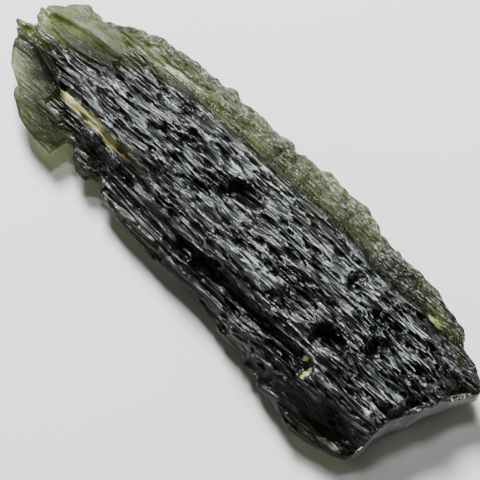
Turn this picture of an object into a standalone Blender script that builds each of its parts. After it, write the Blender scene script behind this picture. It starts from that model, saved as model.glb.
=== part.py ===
"""A sculpted moldavite: one long, flat splinter of natural green glass.

Lengths are in millimetres until the mesh is written, in metres. The stone lies along X, with its
thin see-through end at -X and its thick broken end at +X. +Y is the thin frosted margin and -Y the
steep dark flank. It rests on four worn high spots of its underside, all at z = 0.

The solid is a closed pillow of two skins. Both skins lie over the same plan, a patch stretched
between four edge outlines. They meet along the margins and the thin end, and the broken end is a
wall between them. Hollows, grooves and flutes are then pressed into that pillow.
"""

import itertools

import bmesh
import bpy
import numpy as np

# Driving dimensions, in millimetres.
MM = 0.001
LENGTH = 54.4
WIDTH = 19.3
HEIGHT = 6.6

# How many sides the facets take: rings along the stone, then points across each skin.
BODY_RINGS = 72
THIN_END_RINGS = 3
WALL_RINGS = 6
SKIN_POINTS = 30
EDGE_ROUNDING = 20  # power of the margin's bluntness: the outer 5 per cent is rounded
THIN_END_REACH = 0.012  # share of the length in which the thin end rounds off
EDGE_CROWDING = 1.1  # how much closer the points stand near the margins
EDGE_FADE = 6  # power by which a notch of a long edge fades across the stone
END_FADE = 14  # power by which a notch of an end fades along it

# Plan outlines as (x, y), from the thin end to the broken end.
LOWER_EDGE = [
    (-22.1, -4.7), (-21.5, -5.1), (-20.1, -5.9), (-18.7, -6.3), (-17.6, -6.5), (-16.4, -6.4),
    (-15.6, -6.6), (-15.3, -6.3), (-15.1, -5.0), (-14.6, -4.6), (-14.2, -4.7), (-13.5, -5.5),
    (-12.6, -6.2), (-11.5, -6.3), (-10.9, -5.5), (-10.3, -5.2), (-9.8, -5.4), (-9.4, -6.2),
    (-8.8, -6.5), (-7.8, -6.6), (-6.2, -6.8), (-2.9, -7.0), (1.2, -7.1), (3.3, -7.3),
    (6.3, -7.5), (8.3, -8.1), (9.9, -7.9), (10.5, -8.4), (12.3, -8.5), (14.2, -9.1),
    (17.3, -9.8), (19.2, -9.7), (20.7, -9.3), (22.2, -8.8), (23.2, -8.0),
]
UPPER_EDGE = [
    (-23.2, 6.4), (-22.6, 6.2), (-21.5, 6.1), (-20.6, 6.1), (-19.7, 6.7), (-19.0, 7.0),
    (-18.4, 7.4), (-17.8, 8.0), (-15.6, 8.6), (-13.5, 8.8), (-11.9, 9.2), (-10.0, 9.0),
    (-7.3, 9.4), (-6.4, 9.2), (-3.3, 9.2), (-2.2, 8.8), (-1.5, 9.1), (0.2, 9.2), (1.0, 8.6),
    (1.4, 9.0), (3.6, 9.1), (4.4, 9.5), (7.1, 9.0), (8.7, 9.4), (10.8, 8.7), (11.4, 8.3),
    (13.2, 7.9), (13.6, 8.1), (18.5, 7.9), (20.1, 7.3), (22.4, 6.7), (23.5, 5.7), (24.9, 5.3),
    (26.3, 4.4), (27.0, 3.7),
]
# End outlines as (y, x), from the -Y corner to the +Y corner.
THIN_END = [
    (-4.7, -22.1), (-4.1, -22.4), (-3.5, -22.3), (-3.3, -23.4), (-2.8, -24.4), (-1.6, -25.4),
    (-0.6, -26.0), (0.2, -26.6), (0.6, -27.4), (1.0, -27.4), (1.2, -26.6), (1.4, -25.9),
    (1.7, -25.7), (2.3, -26.3), (3.0, -26.5), (3.7, -26.2), (4.2, -25.5), (4.6, -24.8),
    (5.1, -24.6), (5.9, -24.0), (6.4, -23.2),
]
BROKEN_END = [
    (-8.0, 23.2), (-6.8, 23.1), (-5.2, 23.1), (-4.0, 23.4), (-2.6, 24.1), (-0.6, 24.9),
    (0.8, 25.7), (2.3, 26.6), (3.1, 27.1), (3.7, 27.0),
]

# Heights of both skins. Rows are even stations from the thin end to the broken end, and columns
# run evenly across the stone from the -Y margin to the +Y margin.
TOP_HEIGHTS = np.array([
    [3.2, 3.3, 3.4, 3.5, 3.5, 3.6, 3.4],
    [2.9, 3.4, 3.9, 4.3, 4.1, 4.1, 3.9],
    [2.8, 4.1, 4.9, 5.2, 5.0, 4.3, 4.0],
    [2.8, 4.6, 5.6, 5.7, 5.4, 4.3, 4.1],
    [2.7, 4.9, 6.0, 6.1, 5.7, 4.3, 4.1],
    [2.7, 5.1, 6.3, 6.4, 5.9, 4.4, 4.1],
    [2.7, 5.1, 6.4, 6.5, 6.2, 4.8, 4.1],
    [3.0, 4.9, 6.1, 6.4, 6.3, 5.3, 4.3],
    [3.3, 4.4, 5.4, 5.7, 5.6, 5.0, 4.3],
])
UNDERSIDE_HEIGHTS = np.array([
    [2.6, 2.5, 2.5, 1.3, 2.3, 2.5, 2.4],
    [2.2, 2.6, 3.1, 0.6, 1.9, 3.2, 2.5],
    [1.7, 1.4, 0.7, 0.4, 1.2, 2.6, 2.7],
    [1.4, 0.7, 0.3, 0.3, 0.9, 3.0, 2.7],
    [1.1, 0.5, 0.2, 0.2, 1.2, 3.5, 2.8],
    [1.0, 0.4, 0.2, 0.2, 1.2, 3.6, 2.9],
    [0.9, 0.4, 0.2, 0.2, 1.1, 2.9, 2.6],
    [1.1, 0.7, 0.3, 0.3, 0.5, 1.1, 1.6],
    [1.8, 1.2, 0.8, 0.8, 1.0, 1.5, 2.2],
])
STATION_STEP = LENGTH / (len(TOP_HEIGHTS) - 1)
COLUMN_STEP = 2 / (len(TOP_HEIGHTS[0]) - 1)

# Flow flutes, laid one over the other: (cell length, cell width, depth, seed). Each is a crowd of
# rounded hollows drawn out along the stone, which leaves sharp crests between them.
FLUTES = [
    (15.0, 4.2, 0.95, 11),
    (7.0, 2.2, 1.00, 12),
    (3.4, 1.4, 0.65, 13),
]
FLUTE_HEIGHT = 2.2  # cell height as a multiple of the cell's width
FLUTE_LEVEL = 0.35  # mean of a squared distance to the nearest seed, so that flutes add no bulk
FLUTE_FAN = 0.007  # how fast the flow lines spread towards the broken end, per millimetre
WANDER = 0.5  # how far the flow lines stray sideways
WANDER_LENGTH = 7.0
SCALLOP_CELL = 1.3  # lumps of the frosted margin
SCALLOP_DEPTH = 0.22
FULL_RELIEF_THICKNESS = 3.2  # relief fades where the glass is thinner than this
BREAK_RELIEF = 0.2  # share of the flutes that is left half-way down a break
DEEPEST_SHARE = 0.36  # of the thickness, which neither skin may press in beyond
LATTICE_PERIOD = 32

# Grooves of the top skin: (half width, depth, path). A negative depth is a raised ridge.
GROOVES = [
    (0.80, 0.65, [(-13.5, 5.8), (-9.3, 6.3), (-8.2, 6.7), (-5.0, 6.7), (1.3, 6.4), (9.4, 6.5),
                  (11.9, 6.2)]),
    (0.60, 0.40, [(12.7, 5.6), (15.9, 5.3), (18.8, 5.7), (20.9, 5.2)]),
    (0.55, 0.25, [(-24.6, 2.5), (-21.0, 3.0), (-15.7, 2.9)]),
    (0.40, 0.30, [(-12.2, 3.4), (-8.5, 3.6)]),
    (0.40, 0.30, [(-9.0, 4.5), (-5.9, 4.9)]),
    (0.70, 1.00, [(-0.2, -4.8), (4.8, -5.0), (9.8, -5.4), (14.9, -5.8)]),
    (0.60, 0.50, [(-3.3, -0.2), (-1.3, 0.6), (-0.5, 1.3)]),
    (0.50, 0.30, [(-17.7, -1.6), (-12.3, -2.3), (-7.0, -2.9)]),
    (0.30, -0.28, [(-24.6, 3.2), (-21.8, 3.7), (-16.9, 3.9)]),
    (0.40, -0.35, [(-23.4, -0.2), (-20.5, -1.2)]),
]

# Bowls pressed in: (centre, radii, depth). A negative depth is a knob.
BOWLS = [
    ((0.6, 2.2, 5.9), (2.3, 1.0, 2.0), 0.90),
    ((13.2, 2.9, 6.0), (0.9, 1.2, 2.0), 0.65),
    ((15.1, -2.8, 6.4), (2.0, 1.4, 2.0), 1.15),
    ((15.4, -3.4, 5.6), (1.4, 0.9, 2.0), -0.55),
    ((18.5, -0.2, 6.3), (1.3, 1.0, 2.0), 0.70),
    ((19.5, -7.6, 3.8), (3.8, 1.8, 2.0), 0.80),
    ((-8.5, 1.2, 5.6), (1.9, 0.8, 2.0), 0.45),
    ((7.5, 0.6, 6.4), (2.2, 0.8, 2.0), 0.50),
    # Scoops of the underside, among them the ones that thin the see-through lobes.
    ((-19.8, 3.6, 2.4), (4.6, 2.2, 1.7), 0.80),
    ((-21.9, -2.2, 1.9), (4.2, 2.4, 1.8), 1.00),
    ((-17.5, -4.8, 1.8), (4.5, 1.4, 1.2), 0.35),
    ((-3.0, -3.6, 0.2), (4.6, 2.0, 1.4), 0.70),
    ((3.5, 1.0, 0.2), (3.6, 1.6, 1.4), 0.60),
    ((19.0, -2.0, 0.2), (2.6, 1.8, 1.4), 0.55),
    # Shell-shaped flakes of the broken end.
    ((24.3, -2.8, 5.2), (1.6, 3.0, 2.8), 0.75),
    ((26.3, 1.4, 4.8), (1.6, 2.2, 2.2), 0.60),
    ((23.4, -7.4, 2.6), (1.6, 1.8, 1.8), 0.50),
]

# Worn high spots that the stone rests on: (x, y).
FEET = [(-11.0, 2.0), (-9.5, -3.0), (12.5, 2.0), (11.0, -4.2)]
FOOT_RADIUS = 3.2
FOOT_DROP = 2.1

GLASS_GREEN = (0.20, 0.24, 0.07, 1.0)
GLASS_ROUGHNESS = 0.25
GLASS_IOR = 1.49


def outline(points, share):
    """Both coordinates along an outline, evenly spaced in the first one."""
    first, second = np.array(points).T
    at = first[0] + share * (first[-1] - first[0])
    return at, np.interp(at, first, second)


def broad_outline(points, share, reach):
    """The outline averaged over a window, which shrinks to nothing towards both corners."""
    window = np.minimum(reach, np.minimum(share, 1 - share))
    return np.mean([outline(points, share + k * window) for k in np.linspace(-1, 1, 9)], axis=0)


def plan(along, across):
    """Plan position at shares 0..1 along and across: a patch stretched between four outlines.

    It is the mean line of the two long edges, plus that of the two ends, less the corners, which
    both means count. Only the broad outlines reach inwards: their notches fade near the edge.
    """
    lower, broad_lower = outline(LOWER_EDGE, along), broad_outline(LOWER_EDGE, along, 0.08)
    upper, broad_upper = outline(UPPER_EDGE, along), broad_outline(UPPER_EDGE, along, 0.08)
    thin, broad_thin = outline(THIN_END, across), broad_outline(THIN_END, across, 0.25)
    broken, broad_broken = outline(BROKEN_END, across), broad_outline(BROKEN_END, across, 0.25)
    corners = (LOWER_EDGE[0], UPPER_EDGE[0], LOWER_EDGE[-1], UPPER_EDGE[-1])
    result = []
    for axis in range(2):
        low_thin, up_thin, low_broken, up_broken = (corner[axis] for corner in corners)
        value = (1 - across) * broad_lower[axis] + across * broad_upper[axis]
        value = value + (1 - along) * broad_thin[1 - axis] + along * broad_broken[1 - axis]
        value = value - (1 - along) * ((1 - across) * low_thin + across * up_thin)
        value = value - along * ((1 - across) * low_broken + across * up_broken)
        value = value + (1 - across) ** EDGE_FADE * (lower[axis] - broad_lower[axis])
        value = value + across**EDGE_FADE * (upper[axis] - broad_upper[axis])
        value = value + (1 - along) ** END_FADE * (thin[1 - axis] - broad_thin[1 - axis])
        value = value + along**END_FADE * (broken[1 - axis] - broad_broken[1 - axis])
        result.append(value)
    return result


def knot_weights(place, count):
    """Cubic B-spline weights of each knot at a place counted in knots, one knot past each end."""
    reach = np.abs(place[..., None] - np.arange(-1, count + 1))
    near = 2 / 3 - reach**2 + reach**3 / 2
    far = np.clip(2 - reach, 0, None) ** 3 / 6
    return np.where(reach < 1, near, far)


def skin_height(table, x, side):
    """Height of a skin: its table of heights, blended by B-splines along and across."""
    padded = np.pad(table, 1, mode="reflect", reflect_type="odd")
    stations, columns = table.shape
    place = np.clip((x + LENGTH / 2) / STATION_STEP, 0, stations - 1)
    along = knot_weights(place, stations)
    across = knot_weights((side + 1) / COLUMN_STEP, columns)
    return np.einsum("...i,...j,ij->...", along, across, padded)


def nearest_seed(points, seed):
    """Distance from each point to the nearest seed of a jittered unit lattice."""
    jitter = np.random.default_rng(seed).random((LATTICE_PERIOD,) * 3 + (3,))
    cell = np.floor(points).astype(int)
    nearest = np.full(points.shape[:-1], 2.0)
    for step in itertools.product((-1, 0, 1), repeat=3):
        corner = cell + step
        offset = jitter[tuple(np.moveaxis(corner % LATTICE_PERIOD, -1, 0))]
        nearest = np.minimum(nearest, np.linalg.norm(corner + offset - points, axis=-1))
    return np.minimum(nearest, 1.0)


def smooth_noise(points, seed):
    """Values from -1 to 1 at the corners of a unit lattice, eased between them."""
    values = np.random.default_rng(seed).uniform(-1, 1, (LATTICE_PERIOD,) * 3)
    cell = np.floor(points).astype(int)
    within = points - cell
    ease = within * within * (3 - 2 * within)
    total = np.zeros(points.shape[:-1])
    for step in itertools.product((0, 1), repeat=3):
        share = np.prod(np.where(step, ease, 1 - ease), axis=-1)
        total += share * values[tuple(np.moveaxis((cell + step) % LATTICE_PERIOD, -1, 0))]
    return total


def flow_frame(points):
    """The stone's own flow coordinates: X, then Y and Z, which fan out and stray a little."""
    x, y, z = np.moveaxis(points, -1, 0)
    fan = 1 + FLUTE_FAN * (x + LENGTH / 2)
    stray = WANDER * smooth_noise(points / (WANDER_LENGTH, WANDER_LENGTH / 2, 3.0), 5)
    return np.stack([x, y / fan + stray, z + stray], axis=-1)


def path_distance(x, y, path):
    """Distance in plan from each point to a path of straight pieces."""
    nearest = np.full(x.shape, np.inf)
    for (x0, y0), (x1, y1) in itertools.pairwise(path):
        dx, dy = x1 - x0, y1 - y0
        share = np.clip(((x - x0) * dx + (y - y0) * dy) / (dx * dx + dy * dy), 0, 1)
        nearest = np.minimum(nearest, np.hypot(x - x0 - share * dx, y - y0 - share * dy))
    return nearest


def relief(points, upward, thickness):
    """How far each point moves outwards: flutes, margin lumps, grooves and bowls."""
    x, y, _ = np.moveaxis(points, -1, 0)
    flow = flow_frame(points)
    strength = np.clip(thickness / FULL_RELIEF_THICKNESS, 0.12, 1)
    etched = strength * (BREAK_RELIEF + (1 - BREAK_RELIEF) * upward**4)
    total = np.zeros(x.shape)
    for length, width, depth, seed in FLUTES:
        hollow = nearest_seed(flow / (length, width, FLUTE_HEIGHT * width), seed) ** 2
        total += depth * etched * (hollow - FLUTE_LEVEL)
    margin = 1 - strength
    lumps = nearest_seed(points / SCALLOP_CELL, 21) ** 2
    total -= SCALLOP_DEPTH * margin * (lumps - FLUTE_LEVEL)
    on_top = np.clip(2 * upward, 0, 1)
    for half_width, depth, path in GROOVES:
        total -= depth * on_top * np.exp(-((path_distance(x, y, path) / half_width) ** 2))
    for centre, radii, depth in BOWLS:
        reach = np.sum(((points - centre) / np.array(radii)) ** 2, axis=-1)
        total -= depth * np.clip(1 - reach, 0, 1)
    return np.maximum(total, -DEEPEST_SHARE * thickness)


def rings():
    """Share of the length, and share of the full thickness, of each ring from end to end."""
    turn = np.linspace(0, np.pi / 2, THIN_END_RINGS + 1)
    thin_along = THIN_END_REACH * (1 - np.cos(turn))
    body = np.linspace(THIN_END_REACH, 1, BODY_RINGS)[1:]
    wall = np.linspace(1, 0, WALL_RINGS + 1)[1:]
    along = np.concatenate([thin_along, body, np.ones(WALL_RINGS)])
    fullness = np.concatenate([np.sin(turn), np.ones(BODY_RINGS - 1), wall])
    return along, fullness


def section():
    """Side -1..1 and the sign of the skin for each point of a ring, once round."""
    even = np.linspace(1, -1, SKIN_POINTS + 1)[:-1]
    crowded = np.tanh(EDGE_CROWDING * even) / np.tanh(EDGE_CROWDING)
    side = np.concatenate([crowded, -crowded])
    skin = np.repeat([1.0, -1.0], SKIN_POINTS)
    return side, skin


def outward_plan(along, side):
    """Unit direction in plan that points out of the nearest margin or end."""
    across = (1 + side) / 2
    step = 0.02
    ahead = plan(np.clip(along + step, 0, 1), across)
    behind = plan(np.clip(along - step, 0, 1), across)
    tangent = np.hypot(ahead[0] - behind[0], ahead[1] - behind[1])
    flow = np.array([(ahead[0] - behind[0]) / tangent, (ahead[1] - behind[1]) / tangent])
    edge = side * np.abs(side) ** 7
    end = np.clip((along - 0.985) / 0.015, 0, 1) - np.clip(1 - along / 0.015, 0, 1)
    direction = np.array([-flow[1], flow[0]]) * edge + flow * end
    return direction / (np.hypot(*direction) + 1e-3)


def stone_points():
    """Grid of the stone's points: one row for each ring, one column for each point round it."""
    along, fullness = (values[:, None] for values in rings())
    side, skin = section()
    along, side = np.broadcast_arrays(along, side)
    x, y = plan(along, (1 + side) / 2)
    top = skin_height(TOP_HEIGHTS, x, side)
    underside = skin_height(UNDERSIDE_HEIGHTS, x, side)
    for foot_x, foot_y in FEET:
        apart = np.hypot(x - foot_x, y - foot_y) / FOOT_RADIUS
        underside = underside - FOOT_DROP * np.clip(1 - apart, 0, 1) ** 2
    upward = skin * fullness * np.sqrt(1 - np.abs(side) ** EDGE_ROUNDING)
    z = (top + underside) / 2 + upward * (top - underside) / 2
    points = np.stack([x, y, z], axis=-1)
    outward = np.array([*outward_plan(along, side) * np.sqrt(1 - upward**2), upward])
    height = relief(points, upward, top - underside)
    points = points + np.moveaxis(outward, 0, -1) * height[..., None]
    points[..., 2] = np.maximum(points[..., 2], 0)
    return points


def at_real_size(points):
    """The same points, stretched to the real length, width and height, standing on z = 0."""
    low, high = points.min((0, 1)), points.max((0, 1))
    points = (points - (low + high) / 2) * np.array([LENGTH, WIDTH, HEIGHT]) / (high - low)
    points[..., 2] += HEIGHT / 2
    return points


def closed_mesh(name, points):
    """A mesh of the grid: four-sided faces between rings.

    Both end rings are pressed flat, so each of their upper points meets the one below it, and
    joining those pairs closes the solid.
    """
    ring_count, around, _ = points.shape
    index = np.arange(ring_count * around).reshape(ring_count, around)
    onward = np.roll(index, -1, axis=1)
    faces = np.stack([index[:-1], onward[:-1], onward[1:], index[1:]], axis=-1)
    mesh = bpy.data.meshes.new(name)
    mesh.from_pydata((points.reshape(-1, 3) * MM).tolist(), [], faces.reshape(-1, 4).tolist())
    shaping = bmesh.new()
    shaping.from_mesh(mesh)
    bmesh.ops.remove_doubles(shaping, verts=shaping.verts, dist=2e-6)
    bmesh.ops.dissolve_degenerate(shaping, edges=shaping.edges, dist=1e-6)
    bmesh.ops.recalc_face_normals(shaping, faces=shaping.faces)
    shaping.to_mesh(mesh)
    shaping.free()
    return mesh


def glass_material():
    """Dark green natural glass, a little dulled by etching."""
    material = bpy.data.materials.new("moldavite_glass")
    material.use_nodes = True
    shader = material.node_tree.nodes["Principled BSDF"]
    shader.inputs["Base Color"].default_value = GLASS_GREEN
    shader.inputs["Roughness"].default_value = GLASS_ROUGHNESS
    shader.inputs["Metallic"].default_value = 0.0
    shader.inputs["IOR"].default_value = GLASS_IOR
    material.diffuse_color = GLASS_GREEN
    return material


def main():
    for old in list(bpy.data.objects):
        bpy.data.objects.remove(old)
    mesh = closed_mesh("moldavite", at_real_size(stone_points()))
    mesh.shade_smooth()
    mesh.set_sharp_from_angle(angle=0.7)
    mesh.materials.append(glass_material())
    stone = bpy.data.objects.new("moldavite", mesh)
    bpy.context.scene.collection.objects.link(stone)


main()
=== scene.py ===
# %% [markdown]
# # A sculpted moldavite
#
# Moldavite is natural green glass. Long ago it flew, cooled and lay in acid ground, which etched
# its surface into lengthwise grooves and pits. This lesson models one long flat splinter as it lies
# on a pale surface: black where it is thick, olive where light gets through, frosted at its margin.
#
# Each step has two cells. The first says what the real stone has and why the step is made this way.
# The second is the code. Lengths are in millimetres until a mesh is written, in metres.

# %% Load the packed stone and measure it
import itertools
import math
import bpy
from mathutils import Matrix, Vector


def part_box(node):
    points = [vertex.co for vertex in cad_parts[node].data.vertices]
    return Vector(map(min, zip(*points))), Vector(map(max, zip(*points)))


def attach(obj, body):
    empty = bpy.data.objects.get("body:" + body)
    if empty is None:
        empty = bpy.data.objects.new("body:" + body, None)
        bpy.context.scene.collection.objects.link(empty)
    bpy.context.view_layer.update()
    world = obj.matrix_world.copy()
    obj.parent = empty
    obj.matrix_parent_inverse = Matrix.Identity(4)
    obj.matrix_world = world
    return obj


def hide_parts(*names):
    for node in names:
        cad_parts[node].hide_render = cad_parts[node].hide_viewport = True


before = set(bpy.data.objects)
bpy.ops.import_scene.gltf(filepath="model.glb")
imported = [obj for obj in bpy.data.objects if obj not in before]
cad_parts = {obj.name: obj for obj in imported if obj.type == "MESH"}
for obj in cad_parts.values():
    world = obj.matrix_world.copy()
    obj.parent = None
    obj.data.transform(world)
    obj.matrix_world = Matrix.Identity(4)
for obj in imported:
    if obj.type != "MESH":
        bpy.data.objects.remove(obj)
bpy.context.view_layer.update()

from types import SimpleNamespace

import bpy
import numpy as np
from mathutils import Vector

NODE = "moldavite"
MM = 0.001
box_low, box_high = (np.array(corner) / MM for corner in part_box(NODE))
LENGTH, WIDTH, HEIGHT = box_high - box_low
print(f"the stone is {LENGTH:.1f} x {WIDTH:.1f} x {HEIGHT:.1f} mm")

# %% [markdown]
# ## The camera
#
# The stone is seen from steeply above, with its long axis running down to the right. A camera that
# is placed by eye is hard to correct. This one is aimed by a point, a compass turn, a height angle
# and a distance, and its lens is as long as it must be for the frame to span a set width.

# %% Aim the camera
AIM = (2.86, -0.47, 3.0)
CAMERA_TURN = 44.0  # degrees round from the stone's front
CAMERA_HEIGHT = 70.0  # degrees above the surface
CAMERA_DISTANCE = 140.0
FRAME_SPAN = 42.1  # width that the picture covers at the stone
SENSOR = 36.0
NEAREST = 5.0  # anything closer to the lens isn't drawn


def direction(turn, height):
    """Unit vector that points from the stone to a place at a compass turn and a height angle."""
    turn, height = math.radians(turn), math.radians(height)
    flat = math.cos(height)
    return Vector((math.sin(turn) * flat, -math.cos(turn) * flat, math.sin(height)))


def add_camera():
    """A camera whose lens is sensor times distance over span."""
    data = bpy.data.cameras.new("camera")
    data.sensor_width = SENSOR
    data.lens = SENSOR * CAMERA_DISTANCE / FRAME_SPAN
    data.clip_start = NEAREST * MM
    camera = bpy.data.objects.new("camera", data)
    back = direction(CAMERA_TURN, CAMERA_HEIGHT)
    camera.location = (Vector(AIM) + back * CAMERA_DISTANCE) * MM
    camera.rotation_euler = back.to_track_quat("Z", "Y").to_euler()
    bpy.context.scene.collection.objects.link(camera)
    bpy.context.scene.camera = camera
    return camera


camera = add_camera()
print(f"the lens is {camera.data.lens:.0f} mm")

# %% [markdown]
# ## The outline
#
# Seen from above, the splinter has two long edges full of small notches, a thin end with a nose and
# two lobes, and a broken end. An oval would lose all that makes it this stone, so four short lists
# of points hold it. Straight lines between them are enough: their corners are like the small chips
# of a real edge.

# %% Draw the four outlines
LOWER_EDGE = [
    (-22.1, -4.7), (-21.5, -5.1), (-20.1, -5.9), (-18.7, -6.3), (-17.6, -6.5), (-16.4, -6.4),
    (-15.6, -6.6), (-15.3, -6.3), (-15.1, -5.0), (-14.6, -4.6), (-14.2, -4.7), (-13.5, -5.5),
    (-12.6, -6.2), (-11.5, -6.3), (-10.9, -5.5), (-10.3, -5.2), (-9.8, -5.4), (-9.4, -6.2),
    (-8.8, -6.5), (-7.8, -6.6), (-6.2, -6.8), (-2.9, -7.0), (1.2, -7.1), (3.3, -7.3),
    (6.3, -7.5), (8.3, -8.1), (9.9, -7.9), (10.5, -8.4), (12.3, -8.5), (14.2, -9.1),
    (17.3, -9.8), (19.2, -9.7), (20.7, -9.3), (22.2, -8.8), (23.2, -8.0),
]
UPPER_EDGE = [
    (-23.2, 6.4), (-22.6, 6.2), (-21.5, 6.1), (-20.6, 6.1), (-19.7, 6.7), (-19.0, 7.0),
    (-18.4, 7.4), (-17.8, 8.0), (-15.6, 8.6), (-13.5, 8.8), (-11.9, 9.2), (-10.0, 9.0),
    (-7.3, 9.4), (-6.4, 9.2), (-3.3, 9.2), (-2.2, 8.8), (-1.5, 9.1), (0.2, 9.2), (1.0, 8.6),
    (1.4, 9.0), (3.6, 9.1), (4.4, 9.5), (7.1, 9.0), (8.7, 9.4), (10.8, 8.7), (11.4, 8.3),
    (13.2, 7.9), (13.6, 8.1), (18.5, 7.9), (20.1, 7.3), (22.4, 6.7), (23.5, 5.7), (24.9, 5.3),
    (26.3, 4.4), (27.0, 3.7),
]
# The end outlines are (y, x), from the -Y corner to the +Y corner.
THIN_END = [
    (-4.7, -22.1), (-4.1, -22.4), (-3.5, -22.3), (-3.3, -23.4), (-2.8, -24.4), (-1.6, -25.4),
    (-0.6, -26.0), (0.2, -26.6), (0.6, -27.4), (1.0, -27.4), (1.2, -26.6), (1.4, -25.9),
    (1.7, -25.7), (2.3, -26.3), (3.0, -26.5), (3.7, -26.2), (4.2, -25.5), (4.6, -24.8),
    (5.1, -24.6), (5.9, -24.0), (6.4, -23.2),
]
BROKEN_END = [
    (-8.0, 23.2), (-6.8, 23.1), (-5.2, 23.1), (-4.0, 23.4), (-2.6, 24.1), (-0.6, 24.9),
    (0.8, 25.7), (2.3, 26.6), (3.1, 27.1), (3.7, 27.0),
]
WINDOW_SAMPLES = 9


def outline(points, share):
    """Both coordinates along an outline: even steps in the first, straight lines in the second."""
    first, second = np.array(points).T
    at = first[0] + share * (first[-1] - first[0])
    return at, np.interp(at, first, second)


def broad_outline(points, share, reach):
    """The outline averaged over a window, which shrinks to nothing towards both corners."""
    window = np.minimum(reach, np.minimum(share, 1 - share))
    steps = np.linspace(-1, 1, WINDOW_SAMPLES)
    return np.mean([outline(points, share + step * window) for step in steps], axis=0)


print("the outlines have", sum(map(len, (LOWER_EDGE, UPPER_EDGE, THIN_END, BROKEN_END))), "points")

# %% [markdown]
# ## A patch stretched between the outlines
#
# Grooves need lines that run along the stone, and an outline filled with triangles has none. A
# patch stretched between four edges has: each point is the mean line of the long edges, plus that
# of the ends, less the corners, which both means count. But each notch would run right across the
# stone. So the patch is stretched between broadened outlines, and what they smooth away is added
# back near its edge.

# %% Stretch the patch
EDGE_REACH = 0.08  # window that broadens a long edge, as a share of its length
END_REACH = 0.25  # window that broadens an end
EDGE_FADE = 6  # power by which a notch of a long edge fades across the stone
END_FADE = 14  # power by which a notch of an end fades along it
CORNERS = (LOWER_EDGE[0], UPPER_EDGE[0], LOWER_EDGE[-1], UPPER_EDGE[-1])


def plan(along, across):
    """Mean of the long edges plus mean of the ends, less the corners, plus the fading notches."""
    lower, broad_lower = outline(LOWER_EDGE, along), broad_outline(LOWER_EDGE, along, EDGE_REACH)
    upper, broad_upper = outline(UPPER_EDGE, along), broad_outline(UPPER_EDGE, along, EDGE_REACH)
    thin, broad_thin = outline(THIN_END, across), broad_outline(THIN_END, across, END_REACH)
    broken, broad_broken = outline(BROKEN_END, across), broad_outline(BROKEN_END, across, END_REACH)
    result = []
    for axis in range(2):
        low_thin, up_thin, low_broken, up_broken = (corner[axis] for corner in CORNERS)
        value = (1 - across) * broad_lower[axis] + across * broad_upper[axis]
        value = value + (1 - along) * broad_thin[1 - axis] + along * broad_broken[1 - axis]
        value = value - (1 - along) * ((1 - across) * low_thin + across * up_thin)
        value = value - along * ((1 - across) * low_broken + across * up_broken)
        value = value + (1 - across) ** EDGE_FADE * (lower[axis] - broad_lower[axis])
        value = value + across**EDGE_FADE * (upper[axis] - broad_upper[axis])
        value = value + (1 - along) ** END_FADE * (thin[1 - axis] - broad_thin[1 - axis])
        value = value + along**END_FADE * (broken[1 - axis] - broad_broken[1 - axis])
        result.append(value)
    return result


middle = plan(np.array(0.5), np.array(0.5))
print(f"the middle of the patch is at x {middle[0]:.1f}, y {middle[1]:.1f}")

# %% [markdown]
# ## Two skins
#
# The stone is a lens: a thick core, a thin see-through end, and a thin margin that stands clear of
# the surface. One formula for such a skin would be hard to steer. Two small tables say how high the
# top and the underside are at even steps, and B-splines blend each into a smooth skin. Changing one
# number then moves only the glass near it.

# %% Blend two height tables into skins
# One row for each step along, from the thin end; one number for each step across, from -Y.
TOP_HEIGHTS = np.array([
    [3.2, 3.3, 3.4, 3.5, 3.5, 3.6, 3.4],
    [2.9, 3.4, 3.9, 4.3, 4.1, 4.1, 3.9],
    [2.8, 4.1, 4.9, 5.2, 5.0, 4.3, 4.0],
    [2.8, 4.6, 5.6, 5.7, 5.4, 4.3, 4.1],
    [2.7, 4.9, 6.0, 6.1, 5.7, 4.3, 4.1],
    [2.7, 5.1, 6.3, 6.4, 5.9, 4.4, 4.1],
    [2.7, 5.1, 6.4, 6.5, 6.2, 4.8, 4.1],
    [3.0, 4.9, 6.1, 6.4, 6.3, 5.3, 4.3],
    [3.3, 4.4, 5.4, 5.7, 5.6, 5.0, 4.3],
])
UNDERSIDE_HEIGHTS = np.array([
    [2.6, 2.5, 2.5, 1.3, 2.3, 2.5, 2.4],
    [2.2, 2.6, 3.1, 0.6, 1.9, 3.2, 2.5],
    [1.7, 1.4, 0.7, 0.4, 1.2, 2.6, 2.7],
    [1.4, 0.7, 0.3, 0.3, 0.9, 3.0, 2.7],
    [1.1, 0.5, 0.2, 0.2, 1.2, 3.5, 2.8],
    [1.0, 0.4, 0.2, 0.2, 1.2, 3.6, 2.9],
    [0.9, 0.4, 0.2, 0.2, 1.1, 2.9, 2.6],
    [1.1, 0.7, 0.3, 0.3, 0.5, 1.1, 1.6],
    [1.8, 1.2, 0.8, 0.8, 1.0, 1.5, 2.2],
])
STATION_STEP = LENGTH / (len(TOP_HEIGHTS) - 1)
COLUMN_STEP = 2 / (len(TOP_HEIGHTS[0]) - 1)


def knot_weights(place, count):
    """Cubic B-spline: 2/3 - d^2 + d^3/2 within one knot, (2-d)^3/6 within two, then nothing."""
    reach = np.abs(place[..., None] - np.arange(-1, count + 1))
    near = 2 / 3 - reach**2 + reach**3 / 2
    far = np.clip(2 - reach, 0, None) ** 3 / 6
    return np.where(reach < 1, near, far)


def skin_height(table, x, side):
    """Height at x and side (-1..1): the sum of every knot times its weight along and across."""
    padded = np.pad(table, 1, mode="reflect", reflect_type="odd")
    stations, columns = table.shape
    place = np.clip((x + LENGTH / 2) / STATION_STEP, 0, stations - 1)
    along = knot_weights(place, stations)
    across = knot_weights((side + 1) / COLUMN_STEP, columns)
    return np.einsum("...i,...j,ij->...", along, across, padded)


core = skin_height(TOP_HEIGHTS, np.array(8.0), np.array(0.0))
print(f"the core's top is {core:.1f} mm above the surface")

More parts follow.
